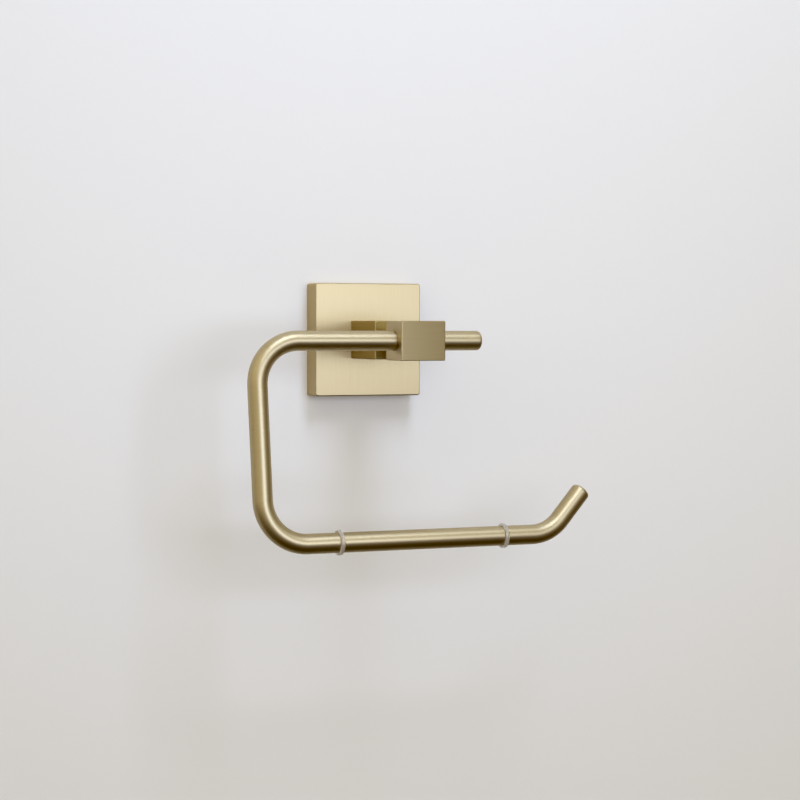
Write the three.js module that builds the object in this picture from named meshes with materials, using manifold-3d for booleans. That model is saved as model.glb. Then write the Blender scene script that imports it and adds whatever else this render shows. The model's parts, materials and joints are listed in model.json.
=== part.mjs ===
// Open-arm toilet paper holder: a square wall cover, a square post, a turned neck, a bored head block,
// one bent round bar that swings in the head, and two clear rings that slide along the bar.
// Millimetres, +Z up. The wall is the plane y = 0 and the holder stands out from it towards -Y.
// The origin is on the wall, behind the middle of the cover.
import * as THREE from 'three';
import { mergeVertices } from 'three/addons/utils/BufferGeometryUtils.js';
import Module from 'manifold-3d';

// ---- driving dimensions ----
const INCH = 25.4;
const GAP = 0.3; // clearance between pieces that touch
const EDGE = 0.7; // small softened edge of the brass pieces

const COVER_SIDE = 2.25 * INCH;
const COVER_DEPTH = 0.5 * INCH;
const COVER_WALL = 2.4;
const COVER_FRONT = 3.0;

const POST_SIDE = 0.75 * INCH;
const POST_LENGTH = 1.25 * INCH;

const NECK_RADIUS = 4.5;
const NECK_LENGTH = 18.1;
const NECK_STUD_RADIUS = 3.6;
const NECK_STUD_LENGTH = 3.8;

const HEAD_WIDTH = 23;
const HEAD_SIDE = 0.75 * INCH;

const BAR_RADIUS = (3 / 16) * INCH;
const BAR_SIDES = 24;
const BEND_RADIUS = 21; // centre line of every bend
const ARM_STUB_X = 33.7; // end of the bar that passes through the head
const ARM_SIDE_X = -81.2; // centre line of the upright
const ARM_DROP = 3.75 * INCH; // upper bar to lower bar, centre to centre
const UPTURN_CORNER_X = 65.5; // where the lower bar and the upturned end would meet if not rounded
const UPTURN_ANGLE = THREE.MathUtils.degToRad(47);
const UPTURN_STRAIGHT = 19.5;
const ARM_SWING = THREE.MathUtils.degToRad(8); // the loop stands this far out of plumb at rest

const RING_X = [-44.4, 40.6];
const RING_WIDTH = 2.4;
const RING_THICKNESS = 1.25;
const RING_CLEARANCE = 0.16;

const BRACKET_WIDTH = 34;
const BRACKET_SHEET = 2;
const BRACKET_FLANGE = 8;
const BRACKET_LOWER_Z = -24;
const WALL_SCREW_Z = 14;
const WALL_SCREW_RADIUS = 2;
const WALL_SCREW_LENGTH = 30;
const PLUG_RADIUS = 3.5;
const PLUG_LENGTH = 30;
const PLUG_SINK = 2.3; // the plug's mouth lies this far below the wall's face

const POST_SCREW_RADIUS = 3;
const POST_SCREW_REACH = 14; // how far the screw runs into the post
const WASHER_THICKNESS = 1.4;
const GRUB_RADIUS = 2;

// ---- derived places ----
const COVER_FRONT_Y = -COVER_DEPTH;
const POST_FRONT_Y = COVER_FRONT_Y - GAP - POST_LENGTH;
const HEAD_BACK_Y = POST_FRONT_Y - NECK_LENGTH - 2 * GAP;
const BAR_Y = HEAD_BACK_Y - HEAD_SIDE / 2;
const COVER_INNER = COVER_SIDE / 2 - COVER_WALL;

// ---- materials ----
const metal = (color, roughness) => new THREE.MeshStandardMaterial({ color, roughness, metalness: 1 });
const SATIN_BRASS = () => metal(0xcbb27a, 0.34);
const ZINC_STEEL = () => metal(0xb4b8ba, 0.38);
const BLACK_STEEL = () => metal(0x34332f, 0.45);
const GREY_PLASTIC = () => new THREE.MeshStandardMaterial({ color: 0x9a9d9e, roughness: 0.6 });
const CLEAR_SILICONE = () => new THREE.MeshStandardMaterial({
  color: 0xdfd9cf, roughness: 0.25, transparent: true, opacity: 0.55,
});

// ---- solids: closed meshes that manifold-3d can cut and join ----
const manifold = await Module();
manifold.setup();

function toSolid(geometry) {
  const bare = geometry.clone();
  bare.deleteAttribute('normal');
  bare.deleteAttribute('uv');
  const merged = mergeVertices(bare, 1e-4);
  return new manifold.Manifold(new manifold.Mesh({
    numProp: 3,
    vertProperties: new Float32Array(merged.attributes.position.array),
    triVerts: new Uint32Array(merged.index.array),
  }));
}

function toGeometry(solid) {
  const mesh = solid.getMesh();
  const geometry = new THREE.BufferGeometry();
  geometry.setAttribute('position', new THREE.BufferAttribute(mesh.vertProperties, 3));
  geometry.setIndex(new THREE.BufferAttribute(mesh.triVerts, 1));
  geometry.computeVertexNormals();
  return geometry;
}

function cut(geometry, tools) {
  let solid = toSolid(geometry);
  for (const tool of tools) {
    solid = solid.subtract(toSolid(tool));
  }
  return toGeometry(solid);
}

// A radius whose flats clear a round part of the given radius in every turned position.
const clearing = (radius, sides) => radius / Math.cos(Math.PI / sides);

// A round drill along an axis, from one point on it to another.
function drill(axis, from, to, radius, sides = 24) {
  const geometry = new THREE.CylinderGeometry(radius, radius, Math.abs(to - from), sides);
  if (axis === 'x') {
    geometry.rotateZ(Math.PI / 2);
    geometry.translate((from + to) / 2, 0, 0);
  }
  if (axis === 'y') {
    geometry.translate(0, (from + to) / 2, 0);
  }
  if (axis === 'z') {
    geometry.rotateX(Math.PI / 2);
    geometry.translate(0, 0, (from + to) / 2);
  }
  return geometry;
}

// A rectangle in the x-z plane with rounded corners, pushed back along +Y from frontY, all edges softened.
function softBlock(width, height, frontY, depth, corner = EDGE) {
  const x = width / 2 - EDGE;
  const z = height / 2 - EDGE;
  const r = Math.max(corner - EDGE, 0.05);
  const outline = new THREE.Shape();
  outline.absarc(x - r, z - r, r, 0, Math.PI / 2);
  outline.absarc(-x + r, z - r, r, Math.PI / 2, Math.PI);
  outline.absarc(-x + r, -z + r, r, Math.PI, 1.5 * Math.PI);
  outline.absarc(x - r, -z + r, r, 1.5 * Math.PI, 2 * Math.PI);
  const geometry = new THREE.ExtrudeGeometry(outline, {
    depth: depth - 2 * EDGE,
    bevelThickness: EDGE,
    bevelSize: EDGE,
    bevelSegments: 2,
    curveSegments: 2,
  });
  geometry.rotateX(Math.PI / 2);
  geometry.translate(0, frontY + depth - EDGE, 0);
  return geometry;
}

// A turned piece along +Y: its outline is a list of [radius, distance along the axis].
function turned(outline, sides) {
  const points = outline.map(([radius, along]) => new THREE.Vector2(radius, along));
  return new THREE.LatheGeometry(points, sides);
}

// ---- wall side ----
function wallCover() {
  const block = softBlock(COVER_SIDE, COVER_SIDE, COVER_FRONT_Y, COVER_DEPTH + EDGE, 1.2);
  const behindWall = new THREE.BoxGeometry(COVER_SIDE * 2, 10, COVER_SIDE * 2);
  behindWall.translate(0, 5, 0);
  const hollow = new THREE.BoxGeometry(COVER_INNER * 2, COVER_DEPTH, COVER_INNER * 2);
  hollow.translate(0, COVER_FRONT_Y + COVER_FRONT + COVER_DEPTH / 2, 0);
  const screwHole = drill('y', COVER_FRONT_Y - 1, 0, POST_SCREW_RADIUS + GAP);
  const grubHole = drill('z', -COVER_SIDE / 2 - 1, -COVER_INNER + 1, GRUB_RADIUS + GAP, 16);
  grubHole.translate(0, -COVER_DEPTH / 2, 0);
  return cut(block, [behindWall, hollow, screwHole, grubHole]);
}

// Folded steel: a flat back on the wall, a top flange that the cover hangs on and a bottom flange that
// the cover's grub screw bears on. The profile lies in the y-z plane and is pushed along X.
function mountingBracket() {
  const top = COVER_INNER - GAP;
  const bottom = BRACKET_LOWER_Z;
  const profile = new THREE.Shape([
    new THREE.Vector2(0, bottom),
    new THREE.Vector2(0, top),
    new THREE.Vector2(-BRACKET_FLANGE, top),
    new THREE.Vector2(-BRACKET_FLANGE, top - BRACKET_SHEET),
    new THREE.Vector2(-BRACKET_SHEET, top - BRACKET_SHEET),
    new THREE.Vector2(-BRACKET_SHEET, bottom + BRACKET_SHEET),
    new THREE.Vector2(-BRACKET_FLANGE, bottom + BRACKET_SHEET),
    new THREE.Vector2(-BRACKET_FLANGE, bottom),
  ]);
  const sheet = new THREE.ExtrudeGeometry(profile, { depth: BRACKET_WIDTH, bevelEnabled: false });
  // the shape's own x and y become world y and z
  sheet.applyMatrix4(new THREE.Matrix4().set(0, 0, 1, -BRACKET_WIDTH / 2, 1, 0, 0, 0, 0, 1, 0, 0, 0, 0, 0, 1));
  const holes = [-1, 1].map((side) => {
    const hole = drill('y', -BRACKET_SHEET - 1, 1, WALL_SCREW_RADIUS + GAP, 16);
    hole.translate(0, 0, side * WALL_SCREW_Z);
    return hole;
  });
  return cut(sheet, holes);
}

// Pan-head wood screw, its head on the bracket and its point in the wall.
function wallScrew() {
  const under = -BRACKET_SHEET - GAP;
  const core = 1.35;
  const threadStart = 3;
  const pitch = 1.8;
  const outline = [[0, under - 2.6], [2.6, under - 2.3], [3.9, under - 1.1], [4.0, under]];
  outline.push([WALL_SCREW_RADIUS, under], [WALL_SCREW_RADIUS, threadStart]);
  const end = under + WALL_SCREW_LENGTH;
  for (let y = threadStart + 0.4; y < end - 5; y += pitch) {
    outline.push([core, y], [core, y + pitch * 0.3], [WALL_SCREW_RADIUS, y + pitch * 0.6]);
  }
  outline.push([core, end - 4.5], [0, end]);
  const slot = new THREE.BoxGeometry(4.6, 2, 0.9);
  slot.translate(0, under - 2.6, 0);
  const crossSlot = slot.clone();
  crossSlot.rotateY(Math.PI / 2);
  return cut(turned(outline, 16), [slot, crossSlot]);
}

// Ribbed plastic plug round the screw, open at the front and split lengthways at its far end.
function wallPlug() {
  const start = PLUG_SINK;
  const bore = clearing(WALL_SCREW_RADIUS + GAP, 16);
  const ribs = 8;
  const ribPitch = (PLUG_LENGTH - 6) / ribs;
  const outline = [[bore, start], [PLUG_RADIUS + 1, start], [PLUG_RADIUS + 1, start + 0.9]];
  for (let i = 0; i < ribs; i += 1) {
    const y = start + 2 + i * ribPitch;
    outline.push([PLUG_RADIUS - 0.5, y], [PLUG_RADIUS, y + ribPitch * 0.7]);
  }
  outline.push([PLUG_RADIUS - 0.6, start + PLUG_LENGTH], [bore, start + PLUG_LENGTH], [bore, start]);
  const split = new THREE.BoxGeometry(1, PLUG_LENGTH * 0.55, PLUG_RADIUS * 3);
  split.translate(0, start + PLUG_LENGTH * 0.8, 0);
  return cut(turned(outline, 16), [split]);
}

// Headless socket screw along +Z, its socket facing down.
function grubScrew(length) {
  const half = length / 2;
  const outline = [[0, -half], [GRUB_RADIUS - 0.3, -half], [GRUB_RADIUS, -half + 0.3]];
  outline.push([GRUB_RADIUS, half - 0.8], [GRUB_RADIUS - 0.8, half], [0, half]);
  const body = turned(outline, 16);
  body.rotateX(Math.PI / 2);
  const socket = drill('z', -half - 1, -half + 1.8, 1.15, 6);
  return cut(body, [socket]);
}

// ---- post, neck and head ----
function post() {
  const block = softBlock(POST_SIDE, POST_SIDE, POST_FRONT_Y, POST_LENGTH);
  const backEnd = POST_FRONT_Y + POST_LENGTH;
  const screwHole = drill('y', backEnd - POST_SCREW_REACH - 1, backEnd + 1, POST_SCREW_RADIUS + GAP);
  const studHole = drill('y', POST_FRONT_Y - 1, POST_FRONT_Y + NECK_STUD_LENGTH + GAP, NECK_STUD_RADIUS + GAP);
  return cut(block, [screwHole, studHole]);
}

// Pan-head screw from inside the cover into the back of the post.
function postScrew() {
  const under = COVER_FRONT_Y + COVER_FRONT + WASHER_THICKNESS + 2 * GAP;
  const tip = COVER_FRONT_Y - GAP - POST_SCREW_REACH;
  const outline = [[0, tip], [POST_SCREW_RADIUS - 0.6, tip], [POST_SCREW_RADIUS, tip + 0.8]];
  outline.push([POST_SCREW_RADIUS, under], [5, under], [5, under + 1.6], [3.6, under + 2.8], [0, under + 2.8]);
  const socket = drill('y', under + 0.6, under + 4, 2, 6);
  return cut(turned(outline, 24), [socket]);
}

// Split spring washer under the post screw's head.
function springWasher() {
  const start = COVER_FRONT_Y + COVER_FRONT + GAP;
  const inner = clearing(POST_SCREW_RADIUS + GAP, 24);
  const end = start + WASHER_THICKNESS;
  const outline = [[inner, start], [5.4, start], [5.4, end], [inner, end], [inner, start]];
  const split = new THREE.BoxGeometry(0.8, 4, 4);
  split.rotateX(0.5);
  split.translate(0, (start + end) / 2, 4.6);
  return cut(turned(outline, 24), [split]);
}

function neck() {
  const back = POST_FRONT_Y - GAP;
  const front = back - NECK_LENGTH;
  const rim = NECK_RADIUS - 0.4;
  const outline = [[0, front - NECK_STUD_LENGTH], [NECK_STUD_RADIUS, front - NECK_STUD_LENGTH]];
  outline.push([NECK_STUD_RADIUS, front], [rim, front], [NECK_RADIUS, front + 0.4]);
  outline.push([NECK_RADIUS, back - 0.4], [rim, back], [NECK_STUD_RADIUS, back]);
  outline.push([NECK_STUD_RADIUS, back + NECK_STUD_LENGTH], [0, back + NECK_STUD_LENGTH]);
  return turned(outline, 24);
}

function head() {
  const block = softBlock(HEAD_WIDTH, HEAD_SIDE, BAR_Y - HEAD_SIDE / 2, HEAD_SIDE);
  const bore = drill('x', -HEAD_WIDTH, HEAD_WIDTH, clearing(BAR_RADIUS + GAP / 2, BAR_SIDES), BAR_SIDES);
  bore.translate(0, BAR_Y, 0);
  const studHole = drill('y', HEAD_BACK_Y - NECK_STUD_LENGTH - GAP, HEAD_BACK_Y + 1, NECK_STUD_RADIUS + GAP);
  const grubHole = drill('z', -HEAD_SIDE, -BAR_RADIUS + 1, GRUB_RADIUS + GAP, 16);
  grubHole.translate(0, BAR_Y, 0);
  return cut(block, [bore, studHole, grubHole]);
}

// ---- arm and rings, drawn with the loop hanging plumb and turned about the bar's axis afterwards ----

// The bar's centre line in the x-z plane: straight runs joined by round bends, as a list of places with
// their directions. A straight run needs only its ends, a bend a place every few degrees.
class BarLine extends THREE.Curve {
  constructor() {
    super();
    this.places = [];
    this.position = new THREE.Vector3(ARM_STUB_X, 0, 0);
    this.heading = Math.PI; // measured from +X towards +Z
    this.note();
    const upperEnd = ARM_SIDE_X + BEND_RADIUS;
    this.straight(ARM_STUB_X - upperEnd);
    this.bend(Math.PI / 2, 9);
    this.straight(ARM_DROP - 2 * BEND_RADIUS);
    this.bend(Math.PI / 2, 9);
    const upturnStart = UPTURN_CORNER_X - BEND_RADIUS * Math.tan(UPTURN_ANGLE / 2);
    this.straight(upturnStart - upperEnd);
    this.bend(UPTURN_ANGLE, 5);
    this.straight(UPTURN_STRAIGHT);
  }

  direction() {
    return new THREE.Vector3(Math.cos(this.heading), 0, Math.sin(this.heading));
  }

  note() {
    this.places.push({ point: this.position.clone(), tangent: this.direction() });
  }

  straight(length) {
    this.position.addScaledVector(this.direction(), length);
    this.note();
  }

  // turns anticlockwise as seen from the front
  bend(angle, steps) {
    const chord = 2 * BEND_RADIUS * Math.sin(angle / steps / 2);
    for (let i = 0; i < steps; i += 1) {
      this.heading += angle / steps / 2;
      this.position.addScaledVector(this.direction(), chord);
      this.heading += angle / steps / 2;
      this.note();
    }
  }

  getSpacedPoints() {
    return this.places.map((place) => place.point);
  }

  getTangentAt(share) {
    return this.places[Math.round(share * (this.places.length - 1))].tangent.clone();
  }
}

function arm() {
  const line = new BarLine();
  const section = new THREE.Shape();
  section.absarc(0, 0, BAR_RADIUS, 0, 2 * Math.PI);
  return new THREE.ExtrudeGeometry(section, {
    steps: line.places.length - 1,
    curveSegments: BAR_SIDES,
    extrudePath: line,
  });
}

function rollRing() {
  const inner = clearing(BAR_RADIUS + RING_CLEARANCE, BAR_SIDES);
  const outer = BAR_RADIUS + RING_THICKNESS;
  const half = RING_WIDTH / 2;
  const soft = 0.5;
  const outline = [[inner, -half], [outer - soft, -half], [outer, -half + soft], [outer, half - soft]];
  outline.push([outer - soft, half], [inner, half], [inner, -half]);
  const ring = turned(outline, BAR_SIDES);
  ring.rotateZ(Math.PI / 2);
  return ring;
}

// ---- assembly ----
function piece(name, geometry, material, x = 0, y = 0, z = 0) {
  const mesh = new THREE.Mesh(geometry, material);
  mesh.name = name;
  mesh.position.set(x, y, z);
  return mesh;
}

const coverGrubLength = COVER_SIDE / 2 - 0.4 + BRACKET_LOWER_Z - GAP;
const coverGrubZ = BRACKET_LOWER_Z - GAP - coverGrubLength / 2;
const headGrubLength = HEAD_SIDE / 2 - BAR_RADIUS - 2 * GAP;
const headGrubZ = -BAR_RADIUS - GAP - headGrubLength / 2;

const wallMount = new THREE.Group();
wallMount.add(
  piece('wall_cover', wallCover(), SATIN_BRASS()),
  piece('mounting_bracket', mountingBracket(), ZINC_STEEL()),
  piece('wall_screw_upper', wallScrew(), ZINC_STEEL(), 0, 0, WALL_SCREW_Z),
  piece('wall_screw_lower', wallScrew(), ZINC_STEEL(), 0, 0, -WALL_SCREW_Z),
  piece('wall_plug_upper', wallPlug(), GREY_PLASTIC(), 0, 0, WALL_SCREW_Z),
  piece('wall_plug_lower', wallPlug(), GREY_PLASTIC(), 0, 0, -WALL_SCREW_Z),
  piece('cover_grub_screw', grubScrew(coverGrubLength), BLACK_STEEL(), 0, -COVER_DEPTH / 2, coverGrubZ),
  piece('post', post(), SATIN_BRASS()),
  piece('post_screw', postScrew(), ZINC_STEEL()),
  piece('post_spring_washer', springWasher(), ZINC_STEEL()),
  piece('neck', neck(), SATIN_BRASS()),
  piece('head_block', head(), SATIN_BRASS()),
  piece('head_grub_screw', grubScrew(headGrubLength), BLACK_STEEL(), 0, BAR_Y, headGrubZ),
);

const swingingArm = new THREE.Group();
swingingArm.position.set(0, BAR_Y, 0);
swingingArm.rotation.x = -ARM_SWING;
swingingArm.add(
  piece('arm', arm(), SATIN_BRASS()),
  piece('roll_ring_left', rollRing(), CLEAR_SILICONE(), RING_X[0], 0, -ARM_DROP),
  piece('roll_ring_right', rollRing(), CLEAR_SILICONE(), RING_X[1], 0, -ARM_DROP),
);

const holder = new THREE.Group();
holder.add(wallMount, swingingArm);

export default holder;
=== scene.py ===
"""Open-arm toilet paper holder in satin brass: the looks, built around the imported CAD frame.

The wall is the plane y = 0 and the holder stands out from it towards -Y. Lengths are metres.
"""

import json

import bpy
import numpy as np
from mathutils import Matrix, Vector


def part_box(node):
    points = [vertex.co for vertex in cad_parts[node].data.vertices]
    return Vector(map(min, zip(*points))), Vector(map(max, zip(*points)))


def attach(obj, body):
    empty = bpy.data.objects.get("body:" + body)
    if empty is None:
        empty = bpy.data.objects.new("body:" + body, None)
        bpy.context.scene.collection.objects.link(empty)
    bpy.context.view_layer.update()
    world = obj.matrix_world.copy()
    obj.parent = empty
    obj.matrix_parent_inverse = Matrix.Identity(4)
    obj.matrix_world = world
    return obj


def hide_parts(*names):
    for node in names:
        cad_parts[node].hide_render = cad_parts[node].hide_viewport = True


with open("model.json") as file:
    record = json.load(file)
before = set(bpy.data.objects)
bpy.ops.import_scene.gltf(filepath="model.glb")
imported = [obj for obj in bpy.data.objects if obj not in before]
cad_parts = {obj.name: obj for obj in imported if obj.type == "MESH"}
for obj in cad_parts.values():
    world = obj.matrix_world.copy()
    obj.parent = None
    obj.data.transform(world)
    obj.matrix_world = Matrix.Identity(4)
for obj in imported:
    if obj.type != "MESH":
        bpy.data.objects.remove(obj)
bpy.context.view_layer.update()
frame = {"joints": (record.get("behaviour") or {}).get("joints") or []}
MM = 0.001


# ---- Wall, floor, light and camera ----
# A pale plastered wall, open behind the cover and seen only from its front, and a pale floor well below. Two
# soft lights stand straight out in front: a small one level with the holder and a tall one above it. Only in
# the brass's reflections is the wall painted darker lower down, as painted shade, and the floor isn't
# mirrored, so the undersides stay dark.
WALL_REACH = 1.6
WALL_OPENING = 28.2 * MM
WALL_GAP = 0.05 * MM
FLOOR_Z = -1.2
# Heights between which the wall, as the brass mirrors it, goes from painted shade to its own colour.
WALL_DIM_BELOW = (-0.34, -0.02)
WALL_COLOUR = (0.750, 0.705, 0.625, 1)
WALL_MIRRORED_SHADE = (0.30, 0.27, 0.22, 1)
FLOOR_COLOUR = (0.84, 0.86, 0.94, 1)


def plain_finish(name, colour, roughness):
    """A material with one Principled shader; returns it with its shader."""
    material = bpy.data.materials.new(name)
    material.use_nodes = True
    shader = material.node_tree.nodes["Principled BSDF"]
    shader.inputs["Base Color"].default_value = colour
    shader.inputs["Roughness"].default_value = roughness
    return material, shader


def step_between(tree, value, low, high, start=0, end=1):
    """Goes evenly from start to end as the value goes from low to high, and stays there beyond."""
    ramp = tree.nodes.new("ShaderNodeMapRange")
    ramp.inputs["From Min"].default_value = low
    ramp.inputs["From Max"].default_value = high
    ramp.inputs["To Min"].default_value = start
    ramp.inputs["To Max"].default_value = end
    tree.links.new(value, ramp.inputs["Value"])
    return ramp.outputs["Result"]


def blend_colour(tree, share, first, second):
    """(1 - share) times the first colour plus share times the second; a colour is a value or an output."""
    mix = tree.nodes.new("ShaderNodeMix")
    mix.data_type = "RGBA"
    tree.links.new(share, mix.inputs["Factor"])
    for name, colour in (("A", first), ("B", second)):
        if isinstance(colour, tuple):
            mix.inputs[name].default_value = colour
        else:
            tree.links.new(colour, mix.inputs[name])
    return mix.outputs["Result"]


def flat_sheet(name, corners, faces, material):
    """A stage surface from a few corners."""
    mesh = bpy.data.meshes.new(name)
    mesh.from_pydata(corners, [], faces)
    mesh.materials.append(material)
    sheet = bpy.data.objects.new(name, mesh)
    bpy.context.scene.collection.objects.link(sheet)
    return sheet


def front_only(material, shader):
    """Shows the shader on the front of every face and nothing on its back."""
    nodes = material.node_tree.nodes
    links = material.node_tree.links
    side = nodes.new("ShaderNodeNewGeometry")
    clear = nodes.new("ShaderNodeBsdfTransparent")
    mix = nodes.new("ShaderNodeMixShader")
    links.new(side.outputs["Backfacing"], mix.inputs["Fac"])
    links.new(shader.outputs["BSDF"], mix.inputs[1])
    links.new(clear.outputs["BSDF"], mix.inputs[2])
    links.new(mix.outputs["Shader"], nodes["Material Output"].inputs["Surface"])


wall_paint, wall_shader = plain_finish("wall_paint", WALL_COLOUR, roughness=0.55)
front_only(wall_paint, wall_shader)
tree = wall_paint.node_tree
place = tree.nodes.new("ShaderNodeTexCoord")
split = tree.nodes.new("ShaderNodeSeparateXYZ")
tree.links.new(place.outputs["Object"], split.inputs[0])
# Painted shade: only as the brass mirrors it, the wall turns to a dark brown below these heights; seen
# straight on it keeps one colour.
height = step_between(tree, split.outputs["Z"], *WALL_DIM_BELOW)
fade = blend_colour(tree, height, WALL_MIRRORED_SHADE, WALL_COLOUR)
ray = tree.nodes.new("ShaderNodeLightPath")
mirrored = blend_colour(tree, ray.outputs["Is Glossy Ray"], WALL_COLOUR, fade)
tree.links.new(mirrored, wall_shader.inputs["Base Color"])
square = [(-1, -1), (1, -1), (1, 1), (-1, 1)]
outer = [(-1, FLOOR_Z / WALL_REACH), (1, FLOOR_Z / WALL_REACH), (1, 1), (-1, 1)]
wall_corners = [(x * WALL_REACH, WALL_GAP, z * WALL_REACH) for x, z in outer]
wall_corners += [(x * WALL_OPENING, WALL_GAP, z * WALL_OPENING) for x, z in square]
wall_faces = [(i, (i + 1) % 4, (i + 1) % 4 + 4, i + 4) for i in range(4)]
flat_sheet("wall", wall_corners, wall_faces, wall_paint)

floor_paint = plain_finish("floor_paint", FLOOR_COLOUR, roughness=0.7)[0]
floor_corners = [(x * 2 * WALL_REACH, y * 2 * WALL_REACH, FLOOR_Z) for x, y in square]
floor = flat_sheet("floor", floor_corners, [(0, 1, 2, 3)], floor_paint)
floor.visible_glossy = False

LIGHT_DISTANCE = 0.767
KEY_X = (-0.142, 0.246)
KEY_Z = (-0.095, 0.178)
KEY_RADIANCE = (5.0, 5.82, 8.1)
TOP_Z = (0.644, 4.75)
TOP_RADIANCE = (8.4, 10.0, 14.0)


def soft_light(name, x_range, z_range, radiance):
    """An upright area light facing the wall; its power is pi times its radiance times its area."""
    width, height = x_range[1] - x_range[0], z_range[1] - z_range[0]
    brightest = max(radiance)
    data = bpy.data.lights.new(name, "AREA")
    data.shape = "RECTANGLE"
    data.size = width
    data.size_y = height
    data.energy = brightest * np.pi * width * height
    data.color = [channel / brightest for channel in radiance]
    light = bpy.data.objects.new(name, data)
    light.location = (sum(x_range) / 2, -LIGHT_DISTANCE, sum(z_range) / 2)
    light.rotation_euler = (np.pi / 2, 0, 0)
    light.visible_camera = False
    bpy.context.scene.collection.objects.link(light)


soft_light("key_light", KEY_X, KEY_Z, KEY_RADIANCE)
soft_light("top_light", KEY_X, TOP_Z, TOP_RADIANCE)

# The room round about: bright on the left, dimming towards the right, dark between them in front, dark
# overhead, dark brown below and near black straight down. A stop is (x of the direction, colour). A step is
# the two heights of the direction, of -1 to 1, between which one colour gives way to the next.
ROOM_STOPS = [
    (-0.20, (1.07, 1.01, 0.80, 1)),
    (0.02, (0.04, 0.04, 0.04, 1)),
    (0.24, (0.04, 0.04, 0.04, 1)),
    (0.42, (0.86, 0.80, 0.56, 1)),
    (0.72, (0.46, 0.42, 0.28, 1)),
    (0.95, (0.26, 0.23, 0.14, 1)),
]
DOWN_STEP = (-0.75, -0.1)
LEVEL_STEP = (-0.07, 0.07)
OVERHEAD_STEP = (0.86, 0.97)
ROOM_BELOW = (0.033, 0.018, 0.004, 1)
ROOM_LOW_FRONT = (0.150, 0.095, 0.036, 1)
ROOM_ABOVE = (0.07, 0.05, 0.03, 1)
BACKDROP = (0.80, 0.80, 0.80, 1)

world = bpy.data.worlds.new("studio")
bpy.context.scene.world = world
world.use_nodes = True
tree = world.node_tree
place = tree.nodes.new("ShaderNodeTexCoord")
split = tree.nodes.new("ShaderNodeSeparateXYZ")
tree.links.new(place.outputs["Generated"], split.inputs[0])
sides = tree.nodes.new("ShaderNodeValToRGB")
tree.links.new(step_between(tree, split.outputs["X"], -1, 1), sides.inputs["Fac"])
stops = sides.color_ramp.elements
stops[0].color = ROOM_STOPS[0][1]
stops[0].position = (ROOM_STOPS[0][0] + 1) / 2
stops[1].color = ROOM_STOPS[-1][1]
stops[1].position = (ROOM_STOPS[-1][0] + 1) / 2
for x, colour in ROOM_STOPS[1:-1]:
    stops.new((x + 1) / 2).color = colour
up = split.outputs["Z"]
below = blend_colour(tree, step_between(tree, up, *DOWN_STEP), ROOM_BELOW, ROOM_LOW_FRONT)
lower = blend_colour(tree, step_between(tree, up, *LEVEL_STEP), below, sides.outputs["Color"])
room = blend_colour(tree, step_between(tree, up, *OVERHEAD_STEP), lower, ROOM_ABOVE)
glow = tree.nodes["Background"]
tree.links.new(room, glow.inputs["Color"])
backdrop = tree.nodes.new("ShaderNodeBackground")
backdrop.inputs["Color"].default_value = BACKDROP
seen = tree.nodes.new("ShaderNodeLightPath")
choose = tree.nodes.new("ShaderNodeMixShader")
tree.links.new(seen.outputs["Is Camera Ray"], choose.inputs["Fac"])
tree.links.new(glow.outputs[0], choose.inputs[1])
tree.links.new(backdrop.outputs[0], choose.inputs[2])
tree.links.new(choose.outputs[0], tree.nodes["World Output"].inputs["Surface"])

BLACK_LEVEL = (0.000, 0.006, 0.012)
grade = bpy.context.scene.view_settings
grade.view_transform = "Standard"
grade.use_curve_mapping = True
grade.curve_mapping.black_level = BLACK_LEVEL

CAMERA_PLACE = Vector((-0.3821, -0.9558, 0.0082))
CAMERA_DIRECTION = Vector((0.3898, 0.9201, -0.0382))
CAMERA_ROLL = np.radians(0.15)
LENS_MM = 90
SENSOR_WIDTH_MM = 36
camera_data = bpy.data.cameras.new("camera")
camera_data.lens = LENS_MM
camera_data.sensor_width = SENSOR_WIDTH_MM
camera = bpy.data.objects.new("camera", camera_data)
aim = CAMERA_DIRECTION.to_track_quat("-Z", "Y").to_matrix().to_4x4()
camera.matrix_world = Matrix.Translation(CAMERA_PLACE) @ aim @ Matrix.Rotation(CAMERA_ROLL, 4, "Z")
bpy.context.scene.collection.objects.link(camera)
bpy.context.scene.camera = camera


# ---- Wall plugs ----
# Two moulded grey nylon plugs pushed into holes drilled in the wall, their mouths a little below its face.
# Ribs grip the plaster, two fins stop the plug from turning, and the far end is split so that it spreads.
PLUG_LOW, PLUG_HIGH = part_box("wall_plug_upper")
PLUG_RIM = (PLUG_HIGH.x - PLUG_LOW.x) / 2
PLUG_BODY = 3.5 * MM
PLUG_BORE = 2.36 * MM
PLUG_RIM_DEPTH = 0.9 * MM
PLUG_RIBS = 8
RIB_HEIGHT = 0.55 * MM
FIN_HEIGHT = 0.35 * MM
RIBS_START = 2.2 * MM
RIBS_END = 3.5 * MM
RIB_RISE = 0.75
RIB_FALL = 0.12
FIN_WIDTH = 0.12
SPLIT_WIDTH = 1.0 * MM
SPLIT_LENGTH = 14.2 * MM
NYLON_DARK = (0.22, 0.23, 0.24, 1)
NYLON_LIGHT = (0.33, 0.34, 0.35, 1)


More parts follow.
